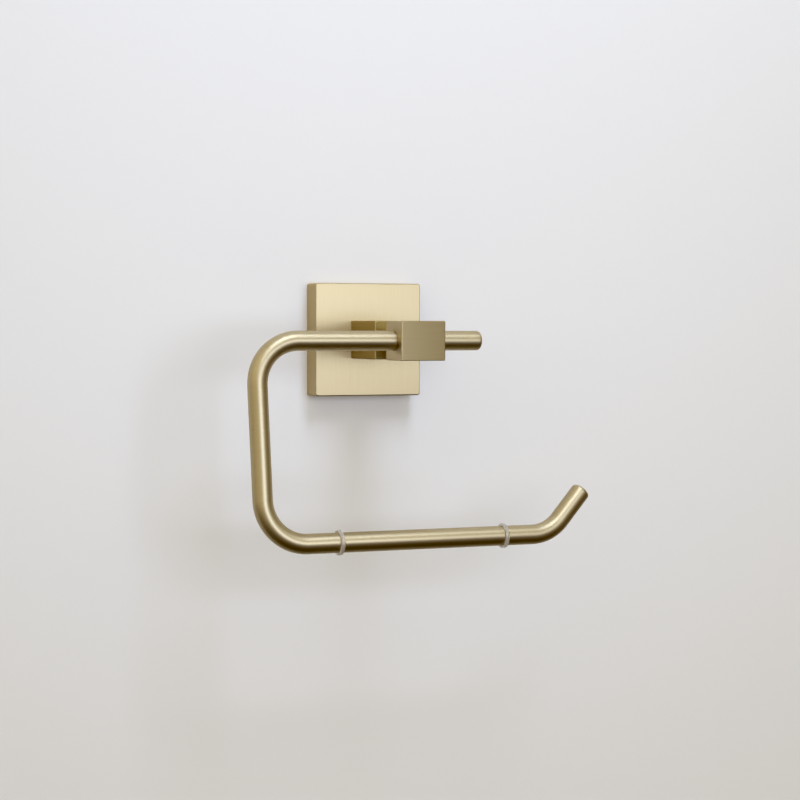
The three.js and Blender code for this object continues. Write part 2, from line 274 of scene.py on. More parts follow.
def closed_mesh(name, rings, start_pole=None, end_pole=None):
    """Skins a grid of rings, shape (rings, points, 3), whose points go once round.

    With no poles the last ring joins the first, as on a torus. With poles each end closes on its point.
    The faces are turned over if the volume they hold comes out negative.
    """
    count, around = rings.shape[:2]
    torus = start_pole is None
    rows = np.arange(count if torus else count - 1)[:, None]
    columns = np.arange(around)[None, :]
    below = rows * around
    above = (rows + 1) % count * around
    after = (columns + 1) % around
    quads = np.stack([below + columns, below + after, above + after, above + columns], -1).reshape(-1, 4)
    points = rings.reshape(-1, 3)
    triangles = np.zeros((0, 3), int)
    if not torus:
        first = np.arange(around)
        following = (first + 1) % around
        last = (count - 1) * around
        start = np.stack([np.full(around, len(points)), following, first], -1)
        end = np.stack([np.full(around, len(points) + 1), last + first, last + following], -1)
        triangles = np.concatenate([start, end])
        points = np.concatenate([points, [start_pole, end_pole]])
    halves = np.concatenate([quads[:, [0, 1, 2]], quads[:, [0, 2, 3]], triangles])
    corner = points[halves]
    volume = np.einsum("ij,ij->i", corner[:, 0], np.cross(corner[:, 1], corner[:, 2])).sum()
    if volume < 0:
        quads = quads[:, ::-1]
        triangles = triangles[:, ::-1]
    mesh = bpy.data.meshes.new(name)
    mesh.vertices.add(len(points))
    mesh.vertices.foreach_set("co", points.astype(np.float32).ravel())
    corners = np.concatenate([quads.ravel(), triangles.ravel()]).astype(np.int32)
    quad_starts = np.arange(len(quads)) * 4
    triangle_starts = len(quads) * 4 + np.arange(len(triangles)) * 3
    mesh.loops.add(len(corners))
    mesh.loops.foreach_set("vertex_index", corners)
    mesh.polygons.add(len(quads) + len(triangles))
    mesh.polygons.foreach_set("loop_start", np.concatenate([quad_starts, triangle_starts]).astype(np.int32))
    mesh.update(calc_edges=True)
    piece = bpy.data.objects.new(name, mesh)
    bpy.context.scene.collection.objects.link(piece)
    return piece


def lathe(radius, place, sides=64, wobble=None):
    """Turns a profile round Z: the point at angle t is (radius cos t, radius sin t, place).

    wobble(angle, place) is a length added to the radius, such as a thread's.
    """
    angle = np.arange(sides) * 2 * np.pi / sides
    radius, place = (np.asarray(a, float)[:, None] for a in (radius, place))
    reach = radius + (0 if wobble is None else wobble(angle[None, :], place))
    return np.stack([reach * np.cos(angle), reach * np.sin(angle), place + 0 * angle], -1)


def drill_out(piece, cutters):
    """Cuts the cutters away from the piece for good and removes them."""
    for cutter in cutters:
        modifier = piece.modifiers.new("cut", "BOOLEAN")
        modifier.object = cutter
        modifier.solver = "EXACT"
    bpy.context.view_layer.update()
    shaped = piece.evaluated_get(bpy.context.evaluated_depsgraph_get())
    mesh = bpy.data.meshes.new_from_object(shaped)
    piece.modifiers.clear()
    blank = piece.data
    piece.data = mesh
    mesh.name = piece.name
    bpy.data.meshes.remove(blank)
    for cutter in cutters:
        bpy.data.meshes.remove(cutter.data)


def bit(sides, radius, low, high, axis, place=(0, 0, 0)):
    """A drill or a hexagonal bit: a prism of that many sides along an axis, between two heights on it."""
    angle = np.arange(sides) * 2 * np.pi / sides
    flat = radius * np.stack([np.cos(angle), np.sin(angle)], -1)
    rings = np.stack([np.insert(flat, 2, height, axis=1) for height in (low, high)])
    order = {"x": [2, 0, 1], "y": [0, 2, 1], "z": [0, 1, 2]}[axis]
    ends = np.array([[0, 0, low], [0, 0, high]])[:, order] + place
    return closed_mesh("bit", rings[..., order] + place, *ends)


def rough_up(tree, shader, height, strength, depth):
    """Tilts the shader's normal as if the surface rose by depth times height, at that strength."""
    relief = tree.nodes.new("ShaderNodeBump")
    relief.inputs["Strength"].default_value = strength
    relief.inputs["Distance"].default_value = depth
    tree.links.new(height, relief.inputs["Height"])
    tree.links.new(relief.outputs["Normal"], shader.inputs["Normal"])


def mottled_finish(name, dark, light, roughness, scale, bump, metallic=0, gloss_spread=0.12):
    """A finish whose colour, gloss and height follow one fine noise of that many bumps a metre.

    Where the noise is high it is lighter, glossier by up to gloss_spread, and raised.
    """
    material, shader = plain_finish(name, light, roughness)
    shader.inputs["Metallic"].default_value = metallic
    tree = material.node_tree
    place = tree.nodes.new("ShaderNodeTexCoord")
    noise = tree.nodes.new("ShaderNodeTexNoise")
    noise.inputs["Scale"].default_value = scale
    noise.inputs["Detail"].default_value = 4
    tree.links.new(place.outputs["Object"], noise.inputs["Vector"])
    grain = noise.outputs["Fac"]
    tree.links.new(blend_colour(tree, grain, dark, light), shader.inputs["Base Color"])
    dull = step_between(tree, grain, 0, 1, roughness + gloss_spread, roughness - gloss_spread)
    tree.links.new(dull, shader.inputs["Roughness"])
    rough_up(tree, shader, grain, bump, 0.03 * MM)
    return material


def finish(piece, material, body, node, sharp_angle=35):
    """Smooth shading with sharp edges kept, the material, and what the piece rides on and stands for."""
    mesh = piece.data
    mesh.materials.clear()
    mesh.materials.append(material)
    mesh.shade_smooth()
    mesh.set_sharp_from_angle(angle=np.radians(sharp_angle))
    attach(piece, body)
    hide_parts(node)


grey_nylon = mottled_finish("grey_nylon", NYLON_DARK, NYLON_LIGHT, roughness=0.55, scale=1500, bump=0.3)
plug_start, plug_end = PLUG_LOW.y, PLUG_HIGH.y
rib_from, rib_to = plug_start + RIBS_START, plug_end - RIBS_END


def plug_ribs(angle, place):
    """What ribs and fins add to the plug's radius, on its outside only: rib height * (rise - 1) + fin.

    Rise goes evenly from 0 to 1 over the first three quarters of each rib and back over its last eighth. Fin
    is the fin height * exp(-(cos angle / width) squared), which makes two fins.
    """
    run = np.clip((place - rib_from) / (rib_to - rib_from), 0, 1) * PLUG_RIBS % 1
    rise = np.clip(run / RIB_RISE, 0, 1) * np.clip((1 - run) / RIB_FALL, 0, 1)
    fin = np.exp(-((np.cos(angle)) / FIN_WIDTH) ** 2) * FIN_HEIGHT
    on = (place > rib_from) & (place < rib_to)
    return on * (RIB_HEIGHT * (rise - 1) + fin) * outside


rib_rows = np.linspace(rib_from, rib_to, PLUG_RIBS * 12 + 1)
plug_radius = np.concatenate([
    [PLUG_BORE, PLUG_BORE + 0.3 * MM, PLUG_RIM - 0.2 * MM, PLUG_RIM, PLUG_RIM, PLUG_RIM - 0.2 * MM],
    [PLUG_BODY - 0.4 * MM, PLUG_BODY - 0.5 * MM], np.full(len(rib_rows), PLUG_BODY),
    [PLUG_BODY - 0.6 * MM, PLUG_BODY - 1.0 * MM, PLUG_BORE + 0.1 * MM, PLUG_BORE],
])
plug_place = np.concatenate([
    [plug_start + 0.3 * MM, plug_start, plug_start, plug_start + 0.2 * MM],
    [plug_start + PLUG_RIM_DEPTH - 0.2 * MM, plug_start + PLUG_RIM_DEPTH, plug_start + PLUG_RIM_DEPTH],
    [rib_from - 0.3 * MM], rib_rows,
    [rib_to + 0.4 * MM, plug_end - 0.4 * MM, plug_end, plug_end - 0.2 * MM],
])
outside = (plug_radius >= PLUG_BODY - 0.01 * MM)[:, None] & (plug_place > rib_from - 0.01 * MM)[:, None]
split_low, split_high = plug_end - SPLIT_LENGTH, plug_end + MM
for level in ("upper", "lower"):
    low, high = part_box("wall_plug_" + level)
    centre = (low.z + high.z) / 2
    rings = lathe(plug_radius, plug_place, 64, plug_ribs)[..., [0, 2, 1]]
    rings[..., 2] += centre
    plug = closed_mesh("wall_plug_" + level + "_nylon", rings)
    corners = np.array(square) * [SPLIT_WIDTH / 2, PLUG_RIM * 2]
    saw_rings = np.stack([np.insert(corners, 1, y, axis=1) for y in (split_low, split_high)])
    saw_rings += [0, 0, centre]
    saw = closed_mesh("saw", saw_rings, (0, split_low, centre), (0, split_high, centre))
    drill_out(plug, [saw])
    finish(plug, grey_nylon, "wall_mount", "wall_plug_" + level)


# ---- Mounting bracket ----
# A strip of zinc-plated steel folded twice: its back lies on the wall, the cover hangs on its upper flange
# and the cover's grub screw bears on its lower one. The edges are rolled over slightly by the shear.
BRACKET_LOW, BRACKET_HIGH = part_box("mounting_bracket")
SHEET = 2.0 * MM
FOLD_RADIUS = 1.8 * MM
SHEAR_EDGE = 0.3 * MM
BRACKET_HOLE = 2.3 * MM
UPPER_LOW, UPPER_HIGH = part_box("wall_screw_upper")
SCREW_Z = (UPPER_LOW.z + UPPER_HIGH.z) / 2
ZINC_DARK = (0.46, 0.48, 0.50, 1)
ZINC_LIGHT = (0.62, 0.64, 0.66, 1)
# An even count keeps every row of points off the middle line of the screw holes, where it spoils the cut.
WIDTH_POINTS = 10


def bent_line(runs, start, heading):
    """A line in a plane from runs of (length, turn, steps), as places, headings and the distance gone.

    A step turns the heading by turn / steps and moves by its chord, 2 (length / turn) sin(turn / steps / 2)
    on a bend, along the mean of its two headings.
    """
    length, turn, steps = (np.array(column, float) for column in zip(*runs))
    steps = steps.astype(int)
    turns = np.repeat(turn / steps, steps)
    shorter = np.repeat(np.sinc(turn / steps / 2 / np.pi), steps)
    chords = np.repeat(length / steps, steps) * shorter
    heading = heading + np.concatenate([[0], np.cumsum(turns)])
    middle = (heading[1:] + heading[:-1]) / 2
    moves = chords[:, None] * np.stack([np.cos(middle), np.sin(middle)], -1)
    places = np.asarray(start) + np.concatenate([np.zeros((1, 2)), np.cumsum(moves, 0)])
    gone = np.concatenate([[0], np.cumsum(np.repeat(length / steps, steps))])
    return places, heading, gone


flange = BRACKET_HIGH.y - BRACKET_LOW.y - SHEET / 2 - FOLD_RADIUS
back = BRACKET_HIGH.z - BRACKET_LOW.z - SHEET - 2 * FOLD_RADIUS
fold = (FOLD_RADIUS * np.pi / 2, np.pi / 2, 8)
strip_runs = [(flange, 0, 4), fold, (back, 0, 12), fold, (flange, 0, 4)]
places, heading, gone = bent_line(strip_runs, (BRACKET_LOW.y, BRACKET_LOW.z + SHEET / 2), 0)
half_width = (BRACKET_HIGH.x - BRACKET_LOW.x) / 2
width_run = np.linspace(-1, 1, WIDTH_POINTS) * (half_width - SHEAR_EDGE)
over, under = np.ones(WIDTH_POINTS), -np.ones(WIDTH_POINTS)
section_x = np.concatenate([width_run, [half_width] * 2, width_run[::-1], [-half_width] * 2])
section_n = np.concatenate([
    under * SHEET / 2, [-SHEET / 2 + SHEAR_EDGE, SHEET / 2 - SHEAR_EDGE],
    over * SHEET / 2, [SHEET / 2 - SHEAR_EDGE, -SHEET / 2 + SHEAR_EDGE],
])
normal = np.stack([-np.sin(heading), np.cos(heading)], -1)
across_strip = np.broadcast_to(section_x, (len(places), len(section_x)))
in_plane = places[:, None, :] + normal[:, None, :] * section_n[None, :, None]
rings = np.stack([across_strip, in_plane[..., 0], in_plane[..., 1]], -1)
ends = np.array([[0, *places[0]], [0, *places[-1]]])
bracket = closed_mesh("mounting_bracket_steel", rings, *ends)
hole_bits = [bit(32, BRACKET_HOLE, -SHEET - MM, MM, "y", (0, 0, z)) for z in (-SCREW_Z, SCREW_Z)]
drill_out(bracket, hole_bits)
zinc = mottled_finish("zinc_plating", ZINC_DARK, ZINC_LIGHT, roughness=0.36, scale=420, bump=0.12,
                      metallic=1)
finish(bracket, zinc, "wall_mount", "mounting_bracket")


# ---- Wall screws ----
# Two zinc-plated pan-head wood screws with a cross recess, cold headed, the thread rolled up to the point.
# They hold the bracket by its two holes and run into the plugs.
SCREW_HEAD = (UPPER_HIGH.x - UPPER_LOW.x) / 2
SHANK = 1.95 * MM
WOOD_PITCH = 1.8 * MM
WOOD_DEPTH = 0.62 * MM
HEAD_DEPTH = 2.6 * MM
HEAD_DOME = 1.9 * MM
HEAD_ROOT = 0.3 * MM
THREAD_START = 3.0 * MM
THREAD_ROWS = 150
POINT_LENGTH = 4.5 * MM
POINT_TAPER = 0.8
POINT_BARE = 0.6
RECESS_WIDTH = 0.9 * MM
RECESS_REACH = 2.3 * MM
RECESS_DEPTH = 1.3 * MM
RECESS_NARROWING = 0.8


def thread(pitch, depth, low, high, run_out=0.8 * MM):
    """A screw thread's wobble: minus depth times a groove that climbs one pitch a turn.

    With the phase counted from the groove's middle in turns, the ridge is 1.6 - 3.2 |phase - 1/2|, kept
    between 0 and 1, and the groove is one less the ridge. It dies out over the run-out at low and at high.
    """
    def wobble(angle, place):
        phase = (place / pitch - angle / (2 * np.pi)) % 1
        ridge = np.clip(1.6 - 3.2 * np.abs(phase - 0.5), 0, 1)
        fade = np.clip((place - low) / run_out, 0, 1) * np.clip((high - place) / run_out, 0, 1)
        return depth * (ridge - 1) * fade
    return wobble


head_top, point = UPPER_LOW.y, UPPER_HIGH.y
under_head = head_top + HEAD_DEPTH
turn = np.linspace(0, np.pi / 2, 9)[1:]
threaded = np.linspace(THREAD_START, point - POINT_LENGTH, THREAD_ROWS)
tip_run = np.linspace(0, 1, 22)[1:-1]
screw_radius = np.concatenate([
    SCREW_HEAD * np.sin(turn), [SCREW_HEAD - 0.15 * MM, SHANK + HEAD_ROOT, SHANK],
    np.full(len(threaded), SHANK), SHANK * (1 - tip_run) ** POINT_TAPER,
])
screw_place = np.concatenate([
    head_top + HEAD_DOME * (1 - np.cos(turn)), [under_head, under_head, under_head + HEAD_ROOT], threaded,
    point - POINT_LENGTH * (1 - tip_run),
])
wood_thread = thread(WOOD_PITCH, WOOD_DEPTH, threaded[0], point - POINT_BARE * POINT_LENGTH)
recess_from, recess_to = head_top - MM, head_top + RECESS_DEPTH
for level, screw_z in (("upper", SCREW_Z), ("lower", -SCREW_Z)):
    rings = lathe(screw_radius, screw_place, 48, wood_thread)[..., [0, 2, 1]] + [0, 0, screw_z]
    poles = (0, head_top, screw_z), (0, point, screw_z)
    screw = closed_mesh("wall_screw_" + level + "_steel", rings, *poles)
    cutters = []
    for reach in ([RECESS_REACH, RECESS_WIDTH / 2], [RECESS_WIDTH / 2, RECESS_REACH]):
        mouth = np.insert(np.array(square) * reach, 1, recess_from, axis=1)
        bottom = np.insert(np.array(square) * reach * RECESS_NARROWING, 1, recess_to, axis=1)
        ends = ((0, recess_from, screw_z), (0, recess_to, screw_z))
        cutters.append(closed_mesh("recess", np.stack([mouth, bottom]) + [0, 0, screw_z], *ends))
    drill_out(screw, cutters)
    finish(screw, zinc, "wall_mount", "wall_screw_" + level)


# ---- Wall cover ----
# A shallow square cap machined from brass plate, hollow behind, its edges broken by hand. It hides the
# bracket and is locked by a grub screw in its underside. The face is brushed up and down, then lacquered.
COVER_LOW, COVER_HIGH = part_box("wall_cover")
COVER_HALF = COVER_HIGH.x
COVER_FACE = COVER_LOW.y
COVER_CORNER = 1.2 * MM
COVER_EDGE = 0.55 * MM
COVER_WALL = 2.4 * MM
COVER_FRONT = 3.0 * MM
SCREW_HOLE = 3.3 * MM
GRUB_HOLE = 2.25 * MM
BRASS_PALE = (0.505, 0.400, 0.215, 1)
BRASS_DEEP = (0.482, 0.377, 0.198, 1)
FACE_LOOP = 12 * MM
RIM_CHAMFER = 0.2 * MM
INNER_CORNER = 0.25 * MM
# How far an extra loop of points lies from an edge, so that smooth shading leaves the flat face flat.
hug = 0.04 * MM


def quarter_round(size, steps=6):
    """Offsets across and along a rounded edge: size times (sin a - 1, 1 - cos a), a up to 90 degrees."""
    turn = np.linspace(0, np.pi / 2, steps + 1)
    return size * (np.sin(turn) - 1), size * (1 - np.cos(turn))


def square_round(corner_steps=6, side_steps=10):
    """The anchors and directions of a rounded square's outline, anticlockwise from the right-hand side.

    A point is anchor * (half side - corner radius) + direction * corner radius. On a corner the anchor stays
    and the direction turns through 90 degrees; on a side the anchor runs across, stopping just short of each
    corner, and the direction stays.
    """
    turn = np.linspace(0, np.pi / 2, corner_steps + 1)
    run = np.linspace(1, -1, side_steps + 1)
    run[[0, -1]] *= 0.996
    anchors, directions = [], []
    for quarter in range(4):
        spin = quarter * np.pi / 2
        cosine, sine = np.cos(spin), np.sin(spin)
        anchor = np.concatenate([np.ones((corner_steps + 1, 2)), np.stack([run, np.ones_like(run)], -1)])
        angle = np.concatenate([turn, np.full(len(run), np.pi / 2)]) + spin
        anchors.append(anchor @ np.array([[cosine, sine], [-sine, cosine]]))
        directions.append(np.stack([np.cos(angle), np.sin(angle)], -1))
    return np.concatenate(anchors), np.concatenate(directions)


def square_rings(half, along, corner, round_holes=None):
    """Rings of a square bar, shape (rings, points, 3) as (across, up, along).

    Each ring is the rounded square of that half side and corner radius, at that distance along. Where
    round_holes is true the ring is a circle of radius half, through the same directions.
    """
    anchors, directions = square_round()
    half, along, corner = (np.asarray(a, float)[:, None, None] for a in (half, along, corner))
    square = anchors * (half - corner) + directions * corner
    corner_spread = 0.05
    outward = anchors + corner_spread * directions
    circle = half * outward / np.linalg.norm(outward, axis=-1, keepdims=True)
    is_round = np.zeros(len(half), bool) if round_holes is None else np.asarray(round_holes, bool)
    flat = np.where(is_round[:, None, None], circle, square)
    return np.concatenate([flat, np.broadcast_to(along, flat.shape[:2] + (1,))], -1)


def brush_map(piece, grain):
    """Gives every face its own flat UV in metres: V along the brushing, U across it.

    On each face V is the first direction in grain, or the second where the first lies within 44 degrees of
    the face's normal, less its part along that normal. U is V crossed with the normal.
    """
    mesh = piece.data
    normals = np.zeros(len(mesh.polygons) * 3)
    mesh.polygons.foreach_get("normal", normals)
    normals = normals.reshape(-1, 3)
    first, second = (np.asarray(g, float) for g in grain)
    steep_cosine = 0.72
    steep = np.abs(normals @ first) > steep_cosine
    along = np.where(steep[:, None], second, first)
    along = along - normals * (along * normals).sum(1, keepdims=True)
    along /= np.linalg.norm(along, axis=1, keepdims=True)
    across = np.cross(along, normals)
    totals = np.zeros(len(mesh.polygons), int)
    mesh.polygons.foreach_get("loop_total", totals)
    face = np.repeat(np.arange(len(totals)), totals)
    vertex = np.zeros(len(mesh.loops), int)
    mesh.loops.foreach_get("vertex_index", vertex)
    places = np.zeros(len(mesh.vertices) * 3)
    mesh.vertices.foreach_get("co", places)
    places = places.reshape(-1, 3)[vertex]
    uv = np.stack([(places * across[face]).sum(1), (places * along[face]).sum(1)], -1)
    layer = mesh.uv_layers.new(name="brushing")
    layer.uv.foreach_set("vector", uv.ravel())


def satin_brass(name, roughness, spread, line_width=0.16 * MM, line_length=14 * MM, bump=0.08,
                pale=BRASS_PALE, deep=BRASS_DEEP):
    """Brushed brass, with no lacquer layer in the shader. Long thin noise along V tints, roughens and
    scratches it.

    spread is how much further the gloss is smeared across the brushing than along it. The noise is 0.55 of
    fine lines and 0.45 of lines four times as wide and twice as long.
    """
    material, shader = plain_finish(name, pale, roughness)
    tree = material.node_tree
    shader.inputs["Metallic"].default_value = 1
    shader.inputs["Anisotropic"].default_value = spread
    place = tree.nodes.new("ShaderNodeUVMap")
    place.uv_map = "brushing"
    tangent = tree.nodes.new("ShaderNodeTangent")
    tangent.direction_type = "UV_MAP"
    tangent.uv_map = "brushing"
    tree.links.new(tangent.outputs["Tangent"], shader.inputs["Tangent"])
    both = tree.nodes.new("ShaderNodeMix")
    both.inputs["Factor"].default_value = 0.45
    for part, width, length in (("A", line_width, line_length), ("B", 4 * line_width, 2 * line_length)):
        stretch = tree.nodes.new("ShaderNodeMapping")
        stretch.inputs["Scale"].default_value = (1 / width, 1 / length, 1)
        tree.links.new(place.outputs["UV"], stretch.inputs["Vector"])
        noise = tree.nodes.new("ShaderNodeTexNoise")
        noise.inputs["Scale"].default_value = 1
        noise.inputs["Detail"].default_value = 3
        tree.links.new(stretch.outputs["Vector"], noise.inputs["Vector"])
        tree.links.new(noise.outputs["Fac"], both.inputs[part])
    lines = both.outputs["Result"]
    tint = blend_colour(tree, step_between(tree, lines, 0.38, 0.58), deep, pale)
    tree.links.new(tint, shader.inputs["Base Color"])
    dull = step_between(tree, lines, 0.3, 0.7, roughness - 0.03, roughness + 0.03)
    tree.links.new(dull, shader.inputs["Roughness"])
    rough_up(tree, shader, lines, bump, 0.01 * MM)
    return material


across, along = quarter_round(COVER_EDGE)
inner_half = COVER_HALF - COVER_WALL
cover_half = np.concatenate([
    [SCREW_HOLE, SCREW_HOLE + hug, FACE_LOOP, COVER_HALF - COVER_EDGE - hug], COVER_HALF + across,
    [COVER_HALF, COVER_HALF, COVER_HALF - RIM_CHAMFER, inner_half + RIM_CHAMFER],
    [inner_half, inner_half, inner_half - hug, FACE_LOOP, SCREW_HOLE + hug, SCREW_HOLE],
])
inside = COVER_FACE + COVER_FRONT
cover_along = np.concatenate([
    [COVER_FACE] * 4, COVER_FACE + along, [COVER_FACE + COVER_EDGE + hug, -RIM_CHAMFER, 0],
    [0, -RIM_CHAMFER, inside + hug], [inside] * 4,
])
cover_corner = np.clip(COVER_CORNER - (COVER_HALF - cover_half), INNER_CORNER, COVER_CORNER)
cover_round = np.isclose(cover_half, SCREW_HOLE, atol=2 * hug)
cover_rings = square_rings(cover_half, cover_along, cover_corner, cover_round)
wall_cover = closed_mesh("wall_cover_brass", cover_rings[..., [0, 2, 1]])
drill_out(wall_cover, [bit(48, GRUB_HOLE, -COVER_HALF - MM, -inner_half + MM, "z", (0, COVER_FACE / 2, 0))])
brush_map(wall_cover, [(0, 0, 1), (1, 0, 0)])
cover_brass = satin_brass("satin_brass_cover", roughness=0.38, spread=0.94)
finish(wall_cover, cover_brass, "wall_mount", "wall_cover")


# ---- Cover grub screw ----
# A headless black-oxide steel screw with a hexagon socket, turned up through the cover's underside until its
# cup point bites on the bracket. It is the only fixing that can be seen from outside, and only from below.
GRUB_PITCH = 0.7 * MM
GRUB_THREAD = 0.28 * MM
SOCKET_FLAT = 1.0 * MM
SOCKET_DEPTH = 1.8 * MM
SOCKET_CHAMFER = 1.45 * MM
SOCKET_CONE = 0.3 * MM
GRUB_CHAMFER = 0.3 * MM
GRUB_ROWS = 40
POINT_HEIGHT = 0.7 * MM
CUP_DEPTH = 0.35 * MM
OXIDE_DARK = (0.012, 0.012, 0.013, 1)
OXIDE_LIGHT = (0.030, 0.029, 0.028, 1)


def hexagon(flat, sides):
    """Radii of a hexagon round its axis: half its width across flats over cos of the turn from a flat."""
    angle = np.arange(sides) * 2 * np.pi / sides
    return flat / np.cos((angle % (np.pi / 3)) - np.pi / 6)


def socket_mouth(rings, flat, places):
    """Rings of a hexagonal hole at those places, shaped like the rings that they come before."""
    angle = np.arange(rings.shape[1]) * 2 * np.pi / rings.shape[1]
    reach = hexagon(flat, rings.shape[1])
    flat_ring = np.stack([reach * np.cos(angle), reach * np.sin(angle)], -1)
    return np.stack([np.insert(flat_ring, 2, place, axis=1) for place in places])


def grub_screw(name, node, y):
    """A grub screw along Z, its socket below and its cup point above, in the place of its CAD node."""
    low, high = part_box(node)
    radius = (high.x - low.x) / 2
    thread_from, thread_to = low.z + GRUB_CHAMFER, high.z - POINT_HEIGHT
    rows = np.linspace(low.z + 0.5 * MM, thread_to, GRUB_ROWS)
    reach = np.concatenate([
        [SOCKET_CHAMFER, radius - GRUB_CHAMFER, radius], np.full(GRUB_ROWS, radius),
        [radius - POINT_HEIGHT, radius - 0.9 * MM, 0.5 * MM],
    ])
    place = np.concatenate([
        [low.z, low.z, thread_from], rows, [high.z, high.z, high.z - CUP_DEPTH],
    ])
    wave = thread(GRUB_PITCH, GRUB_THREAD, thread_from, thread_to, run_out=GRUB_CHAMFER)
    body = lathe(reach, place, 48, wave)
    hole = socket_mouth(body, SOCKET_FLAT, [low.z + SOCKET_DEPTH, low.z + 0.12 * MM])
    rings = np.concatenate([hole, body]) + [0, y, 0]
    poles = (0, y, low.z + SOCKET_DEPTH + SOCKET_CONE), (0, y, high.z - CUP_DEPTH)
    screw = closed_mesh(name, rings, *poles)
    finish(screw, black_oxide, "wall_mount", node)


black_oxide = mottled_finish("black_oxide", OXIDE_DARK, OXIDE_LIGHT, roughness=0.40, scale=2600, bump=0.2,
                             metallic=1)
COVER_GRUB_LOW, COVER_GRUB_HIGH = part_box("cover_grub_screw")
grub_screw("cover_grub_screw_steel", "cover_grub_screw", (COVER_GRUB_LOW.y + COVER_GRUB_HIGH.y) / 2)


# ---- Post ----
# A length of square brass bar, brushed along its length and lacquered. A screw from behind draws one end
# tight against the cover, and the neck's stud is screwed into the other.
POST_LOW, POST_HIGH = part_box("post")
POST_HALF = POST_HIGH.x
POST_EDGE = 0.5 * MM
SEAM = 0.01 * MM
POST_BACK = COVER_FACE - SEAM
STUD_HOLE = 3.75 * MM
STUD_DEPTH = 4.1 * MM
POST_SCREW_DEPTH = 15 * MM
# Painted reflection: the post's brass is deeper and more golden than the head's, standing in for the brass
# cover mirrored in its sides.
POST_REFLECTED_PALE = (0.500, 0.382, 0.155, 1)
POST_REFLECTED_DEEP = (0.455, 0.338, 0.125, 1)


def square_bar(half, edge, low, high, low_hole, high_hole):
    """A square bar between two places along its axis, edges rounded, with a blind round hole in each end.

    Each hole is (radius, depth). The profile runs from the bottom of one hole, over the outside, to the
    bottom of the other.
    """
    across, along = quarter_round(edge)
    reach = np.concatenate([
        [low_hole[0]] * 2, [low_hole[0] + hug, half - edge - hug], half + across, [half] * 2,
        half + across[::-1], [half - edge - hug, high_hole[0] + hug], [high_hole[0]] * 2,
    ])
    place = np.concatenate([
        [low + low_hole[1], low + hug], [low] * 2, low + along, [low + edge + hug, high - edge - hug],
        high - along[::-1], [high] * 2, [high - hug, high - high_hole[1]],
    ])
    is_round = reach < half / 2
    rings = square_rings(reach, place, np.full(len(reach), edge), is_round)
    poles = np.array([[0, 0, low + low_hole[1]], [0, 0, high - high_hole[1]]])
    return rings, poles


rings, poles = square_bar(POST_HALF, POST_EDGE, POST_LOW.y, POST_BACK,
                          (STUD_HOLE, STUD_DEPTH), (SCREW_HOLE, POST_SCREW_DEPTH))
post = closed_mesh("post_brass", rings[..., [0, 2, 1]], *poles[:, [0, 2, 1]])
brush_map(post, [(0, 1, 0), (1, 0, 0)])
# The post gets its own darker brass, a painted reflection of the cover in its sides.
post_brass = satin_brass("satin_brass_post_painted_reflection", roughness=0.40, spread=0.92, pale=POST_REFLECTED_PALE, deep=POST_REFLECTED_DEEP)
finish(post, post_brass, "wall_mount", "post")


# ---- Post screw and spring washer ----
# A zinc-plated screw from inside the cover pulls the post tight against it. The split spring washer under
# its head keeps the joint from working loose each time that the arm is swung.
POST_SCREW_LOW, POST_SCREW_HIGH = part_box("post_screw")
WASHER_LOW, WASHER_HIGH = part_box("post_spring_washer")
PAN_HEAD = (POST_SCREW_HIGH.x - POST_SCREW_LOW.x) / 2
PAN_DEPTH = 2.8 * MM
PAN_DOME = 1.4 * MM
PAN_LIP = 0.2 * MM
SCREW_SHANK = 2.95 * MM
SCREW_PITCH = 1.0 * MM
SCREW_THREAD = 0.45 * MM
DRIVE_FLAT = 1.73 * MM
DRIVE_CHAMFER = 2.25 * MM
DRIVE_DEPTH = 2.1 * MM
WASHER_HOLE = 3.34 * MM
WASHER_SPLIT = np.radians(10)
WASHER_EDGE = 0.18 * MM

tip, top = POST_SCREW_LOW.y, POST_SCREW_HIGH.y
under_head = top - PAN_DEPTH
turn = np.linspace(0, np.pi / 2, 8)
threaded = np.linspace(tip + 0.6 * MM, under_head - 0.5 * MM, THREAD_ROWS)
reach = np.concatenate([
    [SCREW_SHANK - 0.8 * MM, SCREW_SHANK - 0.3 * MM], np.full(THREAD_ROWS, SCREW_SHANK),
    [SCREW_SHANK, PAN_HEAD - PAN_LIP], PAN_HEAD - PAN_DOME * (1 - np.cos(turn)), [DRIVE_CHAMFER],
])
place = np.concatenate([
    [tip, tip + 0.4 * MM], threaded, [under_head, under_head],
    under_head + PAN_LIP + (PAN_DEPTH - PAN_LIP) * np.sin(turn), [top],
])
body = lathe(reach, place, 48, thread(SCREW_PITCH, SCREW_THREAD, threaded[0], under_head - 2 * MM))
hole = socket_mouth(body, DRIVE_FLAT, [top - 0.25 * MM, top - DRIVE_DEPTH])
rings = np.concatenate([body, hole])[..., [0, 2, 1]]
post_screw = closed_mesh("post_screw_steel", rings, (0, tip, 0), (0, top - 2.4 * MM, 0))
finish(post_screw, zinc, "wall_mount", "post_screw")

washer_run = np.linspace(WASHER_SPLIT / 2, 2 * np.pi - WASHER_SPLIT / 2, 73) + np.pi / 2
washer_half = (WASHER_HIGH.x - WASHER_LOW.x) / 2
outer_edge, hole_edge = washer_half - WASHER_EDGE, WASHER_HOLE + WASHER_EDGE
section_r = np.array([
    hole_edge, outer_edge, washer_half, washer_half, outer_edge, hole_edge, WASHER_HOLE, WASHER_HOLE,
])
front_edge, back_edge = WASHER_LOW.y + WASHER_EDGE, WASHER_HIGH.y - WASHER_EDGE
section_y = np.array([
    WASHER_LOW.y, WASHER_LOW.y, front_edge, back_edge, WASHER_HIGH.y, WASHER_HIGH.y, back_edge, front_edge,
])
rings = np.stack([
    section_r * np.cos(washer_run)[:, None], np.broadcast_to(section_y, (len(washer_run), len(section_y))),
    section_r * np.sin(washer_run)[:, None],
], -1)
washer = closed_mesh("post_spring_washer_steel", rings, rings[0].mean(0), rings[-1].mean(0))
finish(washer, zinc, "wall_mount", "post_spring_washer")


